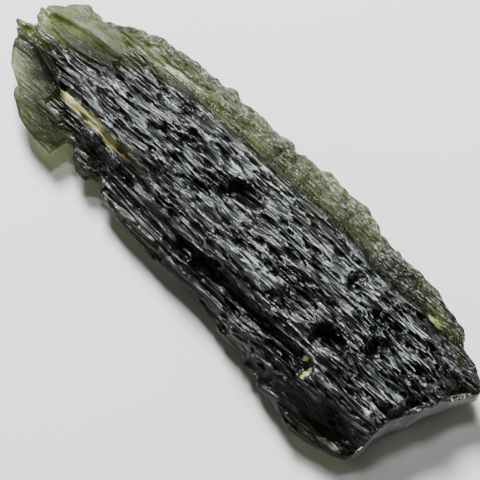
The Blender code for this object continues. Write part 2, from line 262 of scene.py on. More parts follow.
# %% [markdown]
# ## Noise for nature
#
# Etching eats rounded hollows that meet in sharp crests, far too many to carve one by one. The
# distance to the nearest of many scattered seeds has just that shape when it is squared: bowls
# round the seeds, crests between. A second, smooth noise bends the lines, so that no groove runs
# dead straight. Both come from seeded tables, so every run gives the same stone.

# %% Write the two noises
LATTICE_PERIOD = 32


def nearest_seed(points, seed):
    """Distance to the nearest seed, one in each cell of a unit lattice, at most 1."""
    jitter = np.random.default_rng(seed).random((LATTICE_PERIOD,) * 3 + (3,))
    cell = np.floor(points).astype(int)
    nearest = np.full(points.shape[:-1], 2.0)
    for step in itertools.product((-1, 0, 1), repeat=3):
        corner = cell + step
        offset = jitter[tuple(np.moveaxis(corner % LATTICE_PERIOD, -1, 0))]
        nearest = np.minimum(nearest, np.linalg.norm(corner + offset - points, axis=-1))
    return np.minimum(nearest, 1.0)


def smooth_noise(points, seed):
    """Values -1..1 at the corners of a unit lattice, eased in between by 3t^2 - 2t^3."""
    values = np.random.default_rng(seed).uniform(-1, 1, (LATTICE_PERIOD,) * 3)
    cell = np.floor(points).astype(int)
    within = points - cell
    ease = within * within * (3 - 2 * within)
    total = np.zeros(points.shape[:-1])
    for step in itertools.product((0, 1), repeat=3):
        share = np.prod(np.where(step, ease, 1 - ease), axis=-1)
        total += share * values[tuple(np.moveaxis((cell + step) % LATTICE_PERIOD, -1, 0))]
    return total


probe = np.random.default_rng(1).uniform(0, 9, (500, 3))
print(f"the mean squared distance to a seed is {np.mean(nearest_seed(probe, 2) ** 2):.2f}")

# %% [markdown]
# ## Flow lines
#
# The grooves follow the flow of the glass: along the stone, spreading towards its broken end, and
# wandering a little. Drawing them would take hundreds of curves. Sampling the noise in bent
# coordinates bends them all at once.

# %% Bend the coordinates along the flow
FLUTE_FAN = 0.007  # how fast the flow lines spread, per millimetre
WANDER = 0.5  # how far they stray sideways
WANDER_CELL = (7.0, 3.5, 3.0)
WANDER_SEED = 5
RIPPLE = 0.05  # a finer straying, which breaks the finest grooves up
RIPPLE_CELL = (2.6, 2.6 / 3, 1.0)
RIPPLE_SEED = 6


def flow_frame(points):
    """X stays; Y is divided by the fan, and Y and Z are shifted by smooth noise."""
    x, y, z = np.moveaxis(points, -1, 0)
    fan = 1 + FLUTE_FAN * (x + LENGTH / 2)
    stray = WANDER * smooth_noise(points / WANDER_CELL, WANDER_SEED)
    return np.stack([x, y / fan + stray, z + stray], axis=-1)


def rippled(flow):
    """Flow coordinates, shifted sideways once more by a finer noise."""
    ripple = RIPPLE * smooth_noise(flow / RIPPLE_CELL, RIPPLE_SEED)
    return flow + ripple[..., None] * (0, 1, 1)


print("grooves spread", f"{1 + FLUTE_FAN * LENGTH:.2f} times from end to end")

# %% [markdown]
# ## Its own grooves
#
# Some marks are this stone's own, and no noise would put them there: a smooth channel inside the
# margin, a deep gully along the dark flank, seams and creases at the thin end. A cutter swept along
# a path would leave hard rims, so each is a path whose depth falls off sideways as a bell curve.
# The plain solid has the channels and grooves too. The creases are too thin for it.

# %% List the grooves
# (half width, depth, path). A negative depth is a raised ridge.
CHANNELS = [
    (0.80, 0.65, [(-13.5, 5.8), (-9.3, 6.3), (-8.2, 6.7), (-5.0, 6.7), (1.3, 6.4), (9.4, 6.5),
                  (11.9, 6.2)]),
    (0.60, 0.40, [(12.7, 5.6), (15.9, 5.3), (18.8, 5.7), (20.9, 5.2)]),
    (0.55, 0.25, [(-24.6, 2.5), (-21.0, 3.0), (-15.7, 2.9)]),
    (0.40, 0.30, [(-12.2, 3.4), (-8.5, 3.6)]),
    (0.40, 0.30, [(-9.0, 4.5), (-5.9, 4.9)]),
]
GROOVES = CHANNELS + [
    (0.70, 1.00, [(-0.2, -4.8), (4.8, -5.0), (9.8, -5.4), (14.9, -5.8)]),
    (0.60, 0.50, [(-3.3, -0.2), (-1.3, 0.6), (-0.5, 1.3)]),
    (0.50, 0.30, [(-17.7, -1.6), (-12.3, -2.3), (-7.0, -2.9)]),
    (0.30, -0.28, [(-24.6, 3.2), (-21.8, 3.7), (-16.9, 3.9)]),
    (0.40, -0.35, [(-23.4, -0.2), (-20.5, -1.2)]),
]
CREASES = [
    (0.16, 0.30, [(-24.7, 2.9), (-22.7, 3.4), (-21.0, 3.7), (-18.9, 3.6), (-17.2, 3.8)]),
    (0.16, -0.22, [(-24.9, 3.2), (-22.7, 3.75), (-21.0, 4.0), (-18.9, 3.95)]),
    (0.18, -0.30, [(-26.2, -0.1), (-23.6, -0.2), (-21.7, -0.8), (-19.7, -1.4), (-18.4, -1.8)]),
]


def path_distance(x, y, path):
    """Distance in plan to the nearest straight piece of a path."""
    nearest = np.full(x.shape, np.inf)
    for (x0, y0), (x1, y1) in itertools.pairwise(path):
        dx, dy = x1 - x0, y1 - y0
        share = np.clip(((x - x0) * dx + (y - y0) * dy) / (dx * dx + dy * dy), 0, 1)
        nearest = np.minimum(nearest, np.hypot(x - x0 - share * dx, y - y0 - share * dy))
    return nearest


def strip(x, y, path, half_width):
    """1 on a path and e^-(distance / half width)^2 beside it."""
    return np.exp(-((path_distance(x, y, path) / half_width) ** 2))


print(len(GROOVES), "grooves and", len(CREASES), "creases")

# %% [markdown]
# ## Its own bowls
#
# The stone also has a crater with a knob in it, a dark crescent, scoops under its lobes, and
# shell-shaped flakes on the broken end. Each is an ellipsoid pressed in, deepest at its centre.
# A boolean would leave hard rims and a ragged mesh, and this way the rims stay soft. The stone
# rests on a few worn high spots of its underside, and these feet are pulled down in the same way.

# %% List the bowls and the feet
# (centre, radii, depth). A negative depth is a knob.
BOWLS = [
    ((0.6, 2.2, 5.9), (2.3, 1.0, 2.0), 0.90),
    ((13.2, 2.9, 6.0), (0.9, 1.2, 2.0), 0.65),
    ((15.1, -2.8, 6.4), (2.0, 1.4, 2.0), 1.15),
    ((15.4, -3.4, 5.6), (1.4, 0.9, 2.0), -0.55),
    ((18.5, -0.2, 6.3), (1.3, 1.0, 2.0), 0.70),
    ((19.5, -7.6, 3.8), (3.8, 1.8, 2.0), 0.80),
    ((-8.5, 1.2, 5.6), (1.9, 0.8, 2.0), 0.45),
    ((7.5, 0.6, 6.4), (2.2, 0.8, 2.0), 0.50),
    # Scoops of the underside, among them the ones that thin the see-through lobes.
    ((-19.8, 3.6, 2.4), (4.6, 2.2, 1.7), 0.80),
    ((-21.9, -2.2, 1.9), (4.2, 2.4, 1.8), 1.00),
    ((-17.5, -4.8, 1.8), (4.5, 1.4, 1.2), 0.35),
    ((-3.0, -3.6, 0.2), (4.6, 2.0, 1.4), 0.70),
    ((3.5, 1.0, 0.2), (3.6, 1.6, 1.4), 0.60),
    ((19.0, -2.0, 0.2), (2.6, 1.8, 1.4), 0.55),
    # Shell-shaped flakes of the broken end.
    ((24.3, -2.8, 5.2), (1.6, 3.0, 2.8), 0.75),
    ((26.3, 1.4, 4.8), (1.6, 2.2, 2.2), 0.60),
    ((23.4, -7.4, 2.6), (1.6, 1.8, 1.8), 0.50),
]
FEET = [(-11.0, 2.0), (-9.5, -3.0), (12.5, 2.0), (11.0, -4.2)]  # (x, y)
FOOT_RADIUS = 3.2
FOOT_DROP = 2.1


def bowl(points, centre, radii):
    """1 - r^2 inside an ellipsoid, where r is the distance counted in its radii, 0 outside."""
    reach = np.sum(((points - centre) / np.array(radii)) ** 2, axis=-1)
    return np.clip(1 - reach, 0, 1)


print(len(BOWLS), "bowls and", len(FEET), "feet")

# %% [markdown]
# ## Zones of the surface
#
# The stone isn't finished the same all over. The margin is frosted and lumpy, the lobes are smooth,
# and clay is left in one groove and a few pits. Zones painted by hand would be lost with each
# change of shape. Here each is a number from 0 to 1, worked out from where a point is. The relief
# and the material both use it, so they agree on where a finish starts.

# %% Place the zones
FROST_START, FROST_FULL = 0.70, 0.80  # how far across the stone the frosted margin begins
FROST_STOPS = (20.0, 16.0)  # where along the stone there is no frost, and where it is full
FROST_WAVE, FROST_WAVE_LENGTH, FROST_SEED = 0.04, 1.5, 31  # of the border of the frost
CHANNEL_POLISH = 0.4
CHANNEL_SHARE = 0.8  # of a groove's half width, which counts as its smooth channel
LOBE_BORDER = (0.0, 0.2)
ROUGH_RIM_SIDE = (0.80, 0.92)  # the smooth lobes end before the upper rim
ROUGH_RIM_ALONG = (-24.5, -22.5)
# Ellipsoids: (centre, radii).
SMOOTH_LOBES = [
    ((-22.6, -2.4, 3.3), (4.0, 2.4, 4.0)), ((-21.4, 4.2, 3.9), (4.8, 2.4, 4.0)),
    ((-20.2, 3.1, 3.9), (3.4, 0.9, 4.0)), ((-18.7, -5.0, 2.8), (3.6, 1.5, 3.0)),
]
CLAY_STREAK = [(-18.1, -1.8), (-15.8, -1.9), (-13.7, -2.1), (-10.1, -2.5), (-7.1, -2.7)]
STREAK_HALF_WIDTH = 0.48
STREAK_THINS, STREAK_THINNING = 0.45, (-13.0, -7.0)  # by how much, and between which places
CLAY_SPOTS = [
    ((20.2, 5.5, 5.0), (1.2, 0.70, 2.0)), ((15.3, 3.2, 6.2), (0.45, 0.3, 2.0)),
    ((14.6, -5.0, 5.2), (0.5, 0.35, 2.0)), ((15.5, -5.9, 4.6), (0.50, 1.0, 2.0)),
    ((-9.2, -1.9, 5.0), (0.8, 0.3, 2.0)),
]
# Two hollows of the break that stay black.
DARK_CHIPS = [((23.8, -2.0, 4.2), (1.6, 1.5, 0.9)), ((24.9, -0.4, 4.4), (1.6, 0.8, 0.7))]
BREAK_BORDER = (0.0, 0.25)  # share of the way down the break over which its finish begins
CHIP_BORDER = (0.0, 0.4)

print("the frosted margin is the outer", f"{(1 - FROST_FULL) / 2:.0%} of the width")

# %% [markdown]
# ## Measuring the zones
#
# A hard border would look like tape, so each zone is eased in, and the frost's border is shifted by
# noise. One zone gives way to another by being multiplied by what that one leaves.

# %% Measure the zones
def ramp(value, start, full):
    """0 up to start, 1 from full on, and 3t^2 - 2t^3 in between."""
    t = np.clip((value - start) / (full - start), 0, 1)
    return t * t * (3 - 2 * t)


def top_share(upward):
    """Twice upward, kept between 0 and 1, so it is 0 at the rim and on the underside."""
    return np.clip(2 * upward, 0, 1)


def polish_share(points, side, channel):
    """A part of the channel share, or 1 on a smooth lobe, but 0 on the rough upper rim."""
    polish = CHANNEL_POLISH * channel
    for centre, radii in SMOOTH_LOBES:
        polish = np.maximum(polish, ramp(bowl(points, centre, radii), *LOBE_BORDER))
    return polish * (1 - ramp(side, *ROUGH_RIM_SIDE) * ramp(points[..., 0], *ROUGH_RIM_ALONG))


def frost_share(points, side, polish):
    """A ramp across the stone, shifted by noise, times what isn't polished."""
    wave = FROST_WAVE * smooth_noise(points / FROST_WAVE_LENGTH, FROST_SEED)
    frost = ramp(side + wave, FROST_START, FROST_FULL)
    return frost * (1 - polish) * ramp(points[..., 0], *FROST_STOPS)


def clay_share(points, top):
    """The largest of the streak, which thins out along the stone, and of the spots."""
    x, y, _ = np.moveaxis(points, -1, 0)
    clay = strip(x, y, CLAY_STREAK, STREAK_HALF_WIDTH) * top
    clay = clay * (1 - STREAK_THINS * ramp(x, *STREAK_THINNING))
    for centre, radii in CLAY_SPOTS:
        clay = np.maximum(clay, bowl(points, centre, radii) * top)
    return clay


def broken_share(points, upward, along):
    """A ramp down the rings at the very end of the patch, less the dark chips."""
    broken = (along >= 1) * ramp(1 - upward, *BREAK_BORDER)
    for centre, radii in DARK_CHIPS:
        broken = broken * (1 - ramp(bowl(points, centre, radii), *CHIP_BORDER))
    return broken


def zones(points, side, upward, along):
    """Every zone's share of each point, by name."""
    x, y, _ = np.moveaxis(points, -1, 0)
    top = top_share(upward)
    strips = [strip(x, y, path, CHANNEL_SHARE * width) for width, _, path in CHANNELS]
    channel = np.max(strips, axis=0) * top
    polish = polish_share(points, side, channel)
    return {
        "frost": frost_share(points, side, polish), "polish": polish, "channel": channel,
        "clay": clay_share(points, top), "broken": broken_share(points, upward, along),
    }


print(len(SMOOTH_LOBES), "smooth lobes and", len(CLAY_SPOTS), "spots of clay")

# %% [markdown]
# ## Coarse flutes
#
# The core is a field of long hollows, some a few millimetres wide, some far smaller. One level of
# noise would look like a golf ball, so levels of different sizes are added up, each with cells that
# are longer than they are wide. The plain solid has these levels too.

# %% Add up flutes
# Levels of flutes: (cell length, cell width, depth, seed).
FLUTES = [
    (15.0, 4.2, 0.95, 11),
    (7.0, 2.2, 1.00, 12),
    (3.4, 1.4, 0.65, 13),
]
FLUTE_HEIGHT = 2.2  # cell height as a multiple of the cell's width
FLUTE_LEVEL = 0.35  # mean of a squared distance, so that flutes add no bulk


def flutes(flow, levels):
    """Sum of depth times (squared distance to the nearest seed - its mean), level by level."""
    total = np.zeros(flow.shape[:-1])
    for length, width, depth, seed in levels:
        hollow = nearest_seed(flow / (length, width, FLUTE_HEIGHT * width), seed) ** 2
        total += depth * (hollow - FLUTE_LEVEL)
    return total


print(len(FLUTES), "levels of coarse flutes")

# %% [markdown]
# ## Fine relief
#
# Over the coarse flutes lie hair-thin furrows and small deep pits. The frosted margin has round
# lumps in their place, and the lobes next to nothing. A bump in the material could draw all this,
# but it would vanish seen from the side, so it is real shape. It is weaker where the glass is thin.

# %% Add up the fine relief
FINE_FLUTES = [
    (7.0, 0.80, 0.34, 14),
    (5.5, 0.44, 0.34, 15),
    (4.5, 0.29, 0.26, 16),
]
PIT_CELL, PIT_SEED = (1.8, 0.62, 1.4), 17
PIT_RIM, PIT_FLOOR = 0.36, 0.144  # distances from a seed, in cells
PIT_DEPTH = 0.40
LUMP_CELL, LUMP_SEED = (1.1, 0.80, 0.80), 22
LUMP_DEPTH = 0.44
FULL_FINE_THICKNESS = 1.8  # of the glass, from which its fine relief is full
LEAST_FINE = 0.20
FINE_POLISHED_AWAY = 0.97
FINE_FROSTED_AWAY = 0.5


def fine_relief(flow, thickness, zone):
    """(flutes - pits) times what thin, polished and frosted glass leaves, less the lumps."""
    flow = rippled(flow)
    share = np.clip(thickness / FULL_FINE_THICKNESS, LEAST_FINE, 1)
    share = share * (1 - FINE_POLISHED_AWAY * zone["polish"])
    share = share * (1 - FINE_FROSTED_AWAY * zone["frost"])
    pits = ramp(nearest_seed(flow / PIT_CELL, PIT_SEED), PIT_RIM, PIT_FLOOR)
    lumps = nearest_seed(flow / LUMP_CELL, LUMP_SEED) ** 2 - FLUTE_LEVEL
    furrows = flutes(flow, FINE_FLUTES) - PIT_DEPTH * pits
    return share * furrows - LUMP_DEPTH * zone["frost"] * lumps


print(len(FINE_FLUTES), "levels of fine flutes, the narrowest", FINE_FLUTES[-1][1], "mm wide")

# %% [markdown]
# ## Where the crests get wear and painted sheen
#
# The crests of the core show silvery white: partly real etched wear, mostly a painted sheen that
# stands for the lamps' glints. Deep marks, such as the crater and the gully, stay black, a painted
# shade of the hollows, and so does most of the flank, painted shade where it faces away from the
# lamps. The thin end gets little of the white too. An edge finder in the material would treat
# every crest alike. Here the relief itself says what is a crest, and a few ramps along, across and
# through the stone say how much wear and sheen it gets.

# %% Measure the wear and the painted sheen
CREST_RANGE = (-0.16, 0.16)  # fine relief that counts as a hollow, and as a full crest
# Wear and painted sheen by one measure: (least share, value up to which it is least, value from
# which it is full).
WEAR_AND_SHEEN_BY_THICKNESS = (0.15, 0.8, 1.8)
WEAR_AND_SHEEN_ALONG = (0.20, -21.5, -11.0)
WEAR_AND_SHEEN_NEAR_BREAK = (0.60, 27.0, 23.0)  # measured along x + y
# Painted shade: the flank faces away from the lamps, so it gets less of the sheen.
SHADED_FLANK = (0.33, -5.5, -3.0)  # measured across the flank, which slants
FLANK_SLANT = 0.1
RIM_WEAR_AND_SHEEN = 0.55  # the flank's lower rim gets wear and painted sheen too, but not at its broken end
RIM_ACROSS, RIM_ALONG = (-5.6, -6.4), (14.0, 11.0)
MARK_DEPTHS = (0.15, 0.50)  # from the first depth on a mark gets less wear and sheen, from the second it is black with painted shade
# Painted shade: the share of wear and sheen that the deepest marks lose.
SHADE_IN_MARKS = 0.9


def eased(value, least, start, full):
    """The least share up to start, 1 from full on, eased in between."""
    return least + (1 - least) * ramp(value, start, full)


def wear_and_sheen_zone(points, thickness, depth):
    """Product of wear and painted sheen per measure, or the rim's, times what the marks' shade
    leaves.
    """
    x, y, _ = np.moveaxis(points, -1, 0)
    share = eased(thickness, *WEAR_AND_SHEEN_BY_THICKNESS) * eased(x, *WEAR_AND_SHEEN_ALONG)
    share = share * eased(x + y, *WEAR_AND_SHEEN_NEAR_BREAK)
    # Painted shade on the flank, which faces away from the lamps.
    share = share * eased(y + FLANK_SLANT * x, *SHADED_FLANK)
    share = np.maximum(share, RIM_WEAR_AND_SHEEN * ramp(y, *RIM_ACROSS) * ramp(x, *RIM_ALONG))
    # Painted shade in the deep marks.
    return share * (1 - SHADE_IN_MARKS * ramp(depth, *MARK_DEPTHS))


# The wear printed here is the share of wear and painted sheen.
print(f"the thin end keeps {WEAR_AND_SHEEN_ALONG[0]:.0%} of the wear")

# %% [markdown]
# ## All the relief together
#
# The levels, the marks and the fine relief are heights that add up. Displacement modifiers could
# lay them over each other, but none would know how thick the glass is. One sum does: it fades on
# thin glass and down the break, which is fresh and smooth, and neither skin may press in so far
# that it meets the other.

# %% Add everything up
SCALLOP_CELL, SCALLOP_SEED = 1.3, 21
SCALLOP_DEPTH = 0.22  # shallow scallops take the flutes' place on thin glass
FULL_RELIEF_THICKNESS = 3.2
LEAST_RELIEF = 0.12
BREAK_RELIEF = 0.2  # share of the flutes that is left half-way down a break
UPWARD_POWER = 4  # how fast that share is reached
COARSE_POLISHED_AWAY = 0.7
FINE_BROKEN_AWAY = 0.85
DEEPEST_SHARE = 0.36  # of the thickness, beyond which neither skin may press in


def mark_depth(points, top):
    """Sum of depth times share over the grooves, creases and bowls."""
    x, y, _ = np.moveaxis(points, -1, 0)
    depth = np.zeros(x.shape)
    for half_width, deepest, path in GROOVES + CREASES:
        depth += deepest * top * strip(x, y, path, half_width)
    for centre, radii, deepest in BOWLS:
        depth += deepest * bowl(points, centre, radii)
    return depth


def relief(points, upward, thickness, zone):
    """Outward shift: flutes - scallops - marks + fine relief. Adds the crest and wear-and-sheen
    zones.
    """
    flow = flow_frame(points)
    strength = np.clip(thickness / FULL_RELIEF_THICKNESS, LEAST_RELIEF, 1)
    etched = strength * (BREAK_RELIEF + (1 - BREAK_RELIEF) * upward**UPWARD_POWER)
    coarse = etched * (1 - COARSE_POLISHED_AWAY * zone["polish"]) * flutes(flow, FLUTES)
    scallops = nearest_seed(points / SCALLOP_CELL, SCALLOP_SEED) ** 2 - FLUTE_LEVEL
    coarse -= SCALLOP_DEPTH * (1 - strength) * scallops
    depth = mark_depth(points, top_share(upward))
    fine = fine_relief(flow, thickness, zone) * (1 - FINE_BROKEN_AWAY * zone["broken"])
    zone["crest"] = ramp(fine, *CREST_RANGE)
    # Where the crests get wear and painted sheen.
    zone["worn"] = wear_and_sheen_zone(points, thickness, depth)
    return np.maximum(coarse - depth + fine, -DEEPEST_SHARE * thickness)


print("neither skin presses in by more than", f"{DEEPEST_SHARE:.0%} of the thickness")

# %% [markdown]
# ## Rings and sections
#
# A ring runs once round the stone: across the top skin and back across the underside. Rings stand
# side by side from the thin end to the broken end, where the last ones close in over the break.
# Ends like a globe's would need poles with slivers of faces. Here both end rings are pressed flat,
# so each upper point meets the one below it. Points crowd a little towards the margins, where the
# skin turns, and the top has twice as many as the underside.

# %% Lay out the rings
BODY_RINGS = 232
THIN_END_RINGS = 4
WALL_RINGS = 14
UNDERSIDE_POINTS = 132
THIN_END_REACH = 0.012  # share of the length over which the thin end closes
EDGE_CROWDING = 0.7


def rings():
    """Share of the length and share of the full thickness: a quarter turn, the body, the break."""
    turn = np.linspace(0, np.pi / 2, THIN_END_RINGS + 1)
    thin_along = THIN_END_REACH * (1 - np.cos(turn))
    body = np.linspace(THIN_END_REACH, 1, BODY_RINGS)[1:]
    wall = np.linspace(1, 0, WALL_RINGS + 1)[1:]
    along = np.concatenate([thin_along, body, np.ones(WALL_RINGS)])
    fullness = np.concatenate([np.sin(turn), np.ones(BODY_RINGS - 1), wall])
    return along, fullness


def section():
    """Side tanh(kt)/tanh(k) for t from 1 to -1 and back, and +1 or -1 for the skin it is on."""
    even = np.linspace(1, -1, 2 * UNDERSIDE_POINTS + 1)[:-1]
    crowded = np.tanh(EDGE_CROWDING * even) / np.tanh(EDGE_CROWDING)
    skin = np.repeat([1.0, -1.0], [2 * UNDERSIDE_POINTS, UNDERSIDE_POINTS])
    return np.concatenate([crowded, -crowded[::2]]), skin


print(len(rings()[0]), "rings of", len(section()[0]), "points")

# %% [markdown]
# ## Every point of the stone
#
# The relief pushes outwards: up from the top, down from the underside, sideways at the margins and
# the ends. Along true normals the points would tangle where the skin folds at a margin. So the
# direction follows from the place alone, and turns smoothly from up to sideways to down. All points
# are worked out at once, and the last lines stretch the stone to the solid's exact box.

# %% Work out every point
EDGE_ROUNDING = 20  # power of the margin's bluntness
PLAN_STEP = 0.02  # step along the patch over which its direction is taken
MARGIN_TURN_POWER = 7  # how close to a margin the outward direction turns towards it
END_TURN = 0.015  # share of the length over which it turns towards an end
TINY = 1e-3  # keeps a division from failing where there is no direction


def outward_plan(along, side):
    """Unit direction in plan out of the nearest margin or end."""
    across = (1 + side) / 2
    ahead = plan(np.clip(along + PLAN_STEP, 0, 1), across)
    behind = plan(np.clip(along - PLAN_STEP, 0, 1), across)
    tangent = np.hypot(ahead[0] - behind[0], ahead[1] - behind[1])
    flow = np.array([(ahead[0] - behind[0]) / tangent, (ahead[1] - behind[1]) / tangent])
    edge = side * np.abs(side) ** MARGIN_TURN_POWER
    end = np.clip(1 - (1 - along) / END_TURN, 0, 1) - np.clip(1 - along / END_TURN, 0, 1)
    toward = np.array([-flow[1], flow[0]]) * edge + flow * end
    return toward / (np.hypot(*toward) + TINY)


def lower_skin(x, y, side):
    """The underside's height, less drop times (1 - distance / radius)^2 at each foot."""
    height = skin_height(UNDERSIDE_HEIGHTS, x, side)
    for foot_x, foot_y in FEET:
        apart = np.hypot(x - foot_x, y - foot_y) / FOOT_RADIUS
        height = height - FOOT_DROP * np.clip(1 - apart, 0, 1) ** 2
    return height


def stone_points():
    """Plan, and the middle of the skins plus upward times half the thickness; then relief."""
    along, fullness = (values[:, None] for values in rings())
    side, skin = section()
    along, side = np.broadcast_arrays(along, side)
    x, y = plan(along, (1 + side) / 2)
    top, underside = skin_height(TOP_HEIGHTS, x, side), lower_skin(x, y, side)
    thickness = top - underside
    upward = skin * fullness * np.sqrt(1 - np.abs(side) ** EDGE_ROUNDING)
    points = np.stack([x, y, (top + underside) / 2 + upward * thickness / 2], axis=-1)
    outward = np.array([*outward_plan(along, side) * np.sqrt(1 - upward**2), upward])
    zone = zones(points, side, upward, along)
    height = relief(points, upward, thickness, zone)
    points = points + np.moveaxis(outward, 0, -1) * height[..., None]
    points[..., 2] = np.maximum(points[..., 2], 0)
    low, high = points.min((0, 1)), points.max((0, 1))
    return (points - low) * (box_high - box_low) / (high - low) + box_low, zone


stone, stone_zones = stone_points()
print("the stone has", stone.shape[0] * stone.shape[1], "points in zones", *stone_zones)

# %% [markdown]
# ## Joining the points
#
# Glass needs a closed surface, or its inside has no colour. Faces are rows of index numbers, so
# they too are made all at once: each square between two rings is cut in two, and each pressed end
# is closed by a row of faces. Points that meet are made one, and faces that collapse are dropped.
# The sum of the signed corner volumes tells whether the faces point inwards and have to be turned.

# %% Join the points into faces
WELD = 1e-4  # points closer than this are made one


def joined(points, triangles):
    """The points with doubles made one, the faces that stay, and which points were kept."""
    keys = np.round(points / WELD).astype(np.int64)
    _, first, index = np.unique(keys, axis=0, return_index=True, return_inverse=True)
    triangles = index.reshape(-1)[triangles]
    a, b, c = triangles.T
    return points[first], triangles[(a != b) & (b != c) & (a != c)], first


def grid_triangles(ring_count, around):
    """Two triangles for each square of the grid, and the caps of both pressed ends."""
    index = np.arange(ring_count * around).reshape(ring_count, around)
    onward = np.roll(index, -1, axis=1)
    one = np.stack([index[:-1], onward[:-1], onward[1:]], axis=-1)
    two = np.stack([index[:-1], onward[1:], index[1:]], axis=-1)
    walls = np.concatenate([one, two]).reshape(-1, 3)
    spans = np.arange(0, 2 * UNDERSIDE_POINTS, 2)[:, None]
    return np.concatenate([walls, index[0][spans + (2, 1, 0)], index[-1][spans + (0, 1, 2)]])


def faces_out(points, triangles):
    """The triangles, turned if the sum of det(corners) / 6 is negative, and the volume."""
    volume = np.linalg.det(points[triangles]).sum() / 6
    return (triangles if volume > 0 else triangles[:, ::-1]), abs(volume)


print(len(grid_triangles(*stone.shape[:2])), "faces before the doubles are joined")

# %% [markdown]
# ## The mesh
#
# The mesh is written in one go. A subdivision would only soften the crests, because every point is
# already where it belongs. Each zone goes with it as a number on every point, where the material
# will find it. The stone replaces the plain solid, which is hidden.

# %% Write the mesh
def stone_mesh(name, grid, values):
    """A closed mesh of the grid, with each zone as a point attribute."""
    points, triangles, kept = joined(grid.reshape(-1, 3), grid_triangles(*grid.shape[:2]))
    triangles, volume = faces_out(points, triangles)
    mesh = bpy.data.meshes.new(name)
    mesh.from_pydata((points * MM).tolist(), [], triangles.tolist())
    for zone, share in values.items():
        layer = mesh.attributes.new(zone, "FLOAT", "POINT")
        layer.data.foreach_set("value", share.reshape(-1)[kept].astype(np.float32))
    mesh.shade_smooth()
    print(f"{name}: {len(triangles)} triangles, {volume / 1000:.2f} cubic centimetres")
    return mesh


PIECE = "moldavite_sculpted"
moldavite = bpy.data.objects.new(PIECE, stone_mesh(PIECE, stone, stone_zones))
bpy.context.scene.collection.objects.link(moldavite)
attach(moldavite, "root")
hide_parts(NODE)

# %% [markdown]
# ## Shader sums in plain Python
#
# A finish is mostly sums on numbers that change over the surface. As chains of Math nodes they are
# slow to place and hard to read. A small class that wraps a socket lets Python's own signs add the
# nodes, so a finish reads like a formula.

# %% Wrap a socket
class Wire:
    """A number that flows between shader nodes. Sums on it add Math nodes."""

    def __init__(self, bench, socket):
        self.bench = bench
        self.socket = socket

    def math(self, operation, *values, swap=False):
        """A Math node on this number and then the values, or the other way round."""
        values = (*values, self) if swap else (self, *values)
        return self.bench.node("ShaderNodeMath", {"operation": operation}, *values)

    def __add__(self, other):
        return self.math("ADD", other)

    def __sub__(self, other):
        return self.math("SUBTRACT", other)

    def __rsub__(self, other):
        return self.math("SUBTRACT", other, swap=True)

    def __mul__(self, other):
        return self.math("MULTIPLY", other)

    __radd__ = __add__
    __rmul__ = __mul__

    def clamped(self):
        """The number, kept between 0 and 1."""
        return self.bench.node("ShaderNodeClamp", {}, self)

    def ramp(self, start, full):
        """0 at start, 1 at full, eased in between."""
        return self.bench.node(
            "ShaderNodeMapRange", {"interpolation_type": "SMOOTHSTEP"}, self, start, full, 0.0, 1.0
        )


print("reflected signs:", *(name for name in vars(Wire) if name.startswith("__r")))

# %% [markdown]
# ## A bench of nodes
#
# Every other node comes from one method, which takes its type, its settings and what goes in its
# sockets. The few kinds that these finishes use often have a short method of their own on top.

# %% Set up a bench
class Bench:
    """One node tree, with a method that adds any node."""

    def __init__(self, tree):
        self.tree = tree
        self.tree.nodes.clear()

    def node(self, kind, settings, *values, out=0, **named):
        """Adds a node: its settings first, then its sockets by order or by name."""
        node = self.tree.nodes.new(kind)
        for key, value in settings.items():
            setattr(node, key, value)
        sockets = [(node.inputs[number], value) for number, value in enumerate(values)]
        sockets += [(node.inputs[name.replace("_", " ")], value) for name, value in named.items()]
        for socket, value in sockets:
            if isinstance(value, Wire):
                self.tree.links.new(value.socket, socket)
            elif value is not None:
                socket.default_value = value
        return Wire(self, node.outputs[out]) if node.outputs else node

    def coordinates(self, stretch=(1, 1, 1)):
        """Object coordinates in millimetres, each divided by its stretch."""
        place = self.node("ShaderNodeTexCoord", {}, out="Object")
        scale = tuple(1 / (MM * value) for value in stretch)
        return self.node("ShaderNodeMapping", {}, place, (0, 0, 0), (0, 0, 0), scale)

    def noise(self, stretch, detail=3.0, rough=0.55, offset=0.0):
        """Cloudy noise about 0.5, with lumps of the given size in millimetres."""
        place = self.coordinates(stretch)
        place = self.node("ShaderNodeVectorMath", {"operation": "ADD"}, place, (offset,) * 3)
        return self.node("ShaderNodeTexNoise", {}, place, None, 1.0, detail, rough)

    def attribute(self, name):
        """A zone of the mesh."""
        return self.node("ShaderNodeAttribute", {"attribute_name": name}, out="Fac")

    def blend(self, share, first, second):
        """Colour: (1 - share) first + share second. The Mix node's colours are sockets 6 and 7."""
        unused = (None,) * 5
        return self.node(
            "ShaderNodeMix", {"data_type": "RGBA"}, share, *unused, first, second, out=2
        )

    def matt(self, colour, roughness, bump):
        """An opaque finish."""
        return self.node(
            "ShaderNodeBsdfPrincipled", {}, Base_Color=colour, Roughness=roughness, Normal=bump
        )

    def mix(self, share, first, second):
        """Surface: (1 - share) first + share second."""
        return self.node("ShaderNodeMixShader", {}, share, first, second)


def new_bench(name):
    """A material and the bench of its nodes."""
    material = bpy.data.materials.new(name)
    material.use_nodes = True
    return material, Bench(material.node_tree)


print("the bench can make", *(name for name in vars(Bench) if not name.startswith("_")))

# %% [markdown]
# ## What the finishes read
#
# The glass, the crests' white of wear and painted sheen, and the clay meet along the same streaks
# and grains, because on the real stone one surface carries them all. So the zones and the noises
# that more than one finish needs are set out once, at the size of the real marks: clouds of about a
# millimetre, streaks a sixth of that wide and far longer, and grains a little finer still.

# %% Set out the zones and the noises
ZONES = ("frost", "polish", "channel", "clay", "broken", "crest", "worn")


